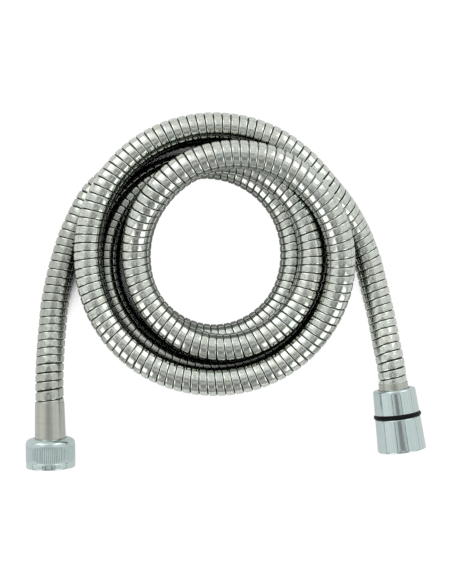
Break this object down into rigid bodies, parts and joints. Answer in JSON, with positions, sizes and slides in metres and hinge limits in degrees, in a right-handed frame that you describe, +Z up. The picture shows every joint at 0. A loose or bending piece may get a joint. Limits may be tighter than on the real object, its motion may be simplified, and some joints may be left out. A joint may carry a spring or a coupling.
{
  "type": "extendable shower hose",
  "caption": "Polished metal strip shower hose lying in a loose coil, with a knurled swivel nut for the water outlet and a conical swivel nut with a rubber grip ring for the hand shower.",
  "frame": {"origin": "centre of the bounding box's underside, on the surface that the coil lies on", "axes": "+X from the knurled nut's side to the conical nut's side, +Y away from both nuts across the coil, +Z up out of the surface"},
  "size_m": [0.1999, 0.1755, 0.0428],
  "materials": {
    "polished_steel": "polished stainless strip, wound into a fine rib",
    "satin_nickel": "satin nickel plate, turned",
    "chrome": "bright chrome plate on brass",
    "brass": "machined brass",
    "black_rubber": "black rubber ring",
    "grey_rubber": "dark grey rubber"
  },
  "bodies": {
    "hose": {"outer_hose": "polished_steel", "inner_hose": "grey_rubber", "valve_end_sleeve": "satin_nickel", "valve_end_nipple": "brass", "valve_end_washer": "grey_rubber", "handset_end_sleeve": "satin_nickel", "handset_end_nipple": "brass", "handset_end_washer": "grey_rubber"},
    "knurled_nut": {"knurled_nut": "chrome"},
    "cone_nut": {"cone_nut": "chrome", "grip_ring": "black_rubber"}
  },
  "joints": [
    {"name": "knurled_nut_swivel", "type": "hinge", "parent": "hose", "child": "knurled_nut", "pos_m": [-0.088, -0.0551, 0.01225], "axis": [0.0175, -0.9998, 0], "continuous": true},
    {"name": "cone_nut_swivel", "type": "hinge", "parent": "hose", "child": "cone_nut", "pos_m": [0.0836, -0.0453, 0.01205], "axis": [0.1323, -0.9912, 0], "continuous": true}
  ]
}
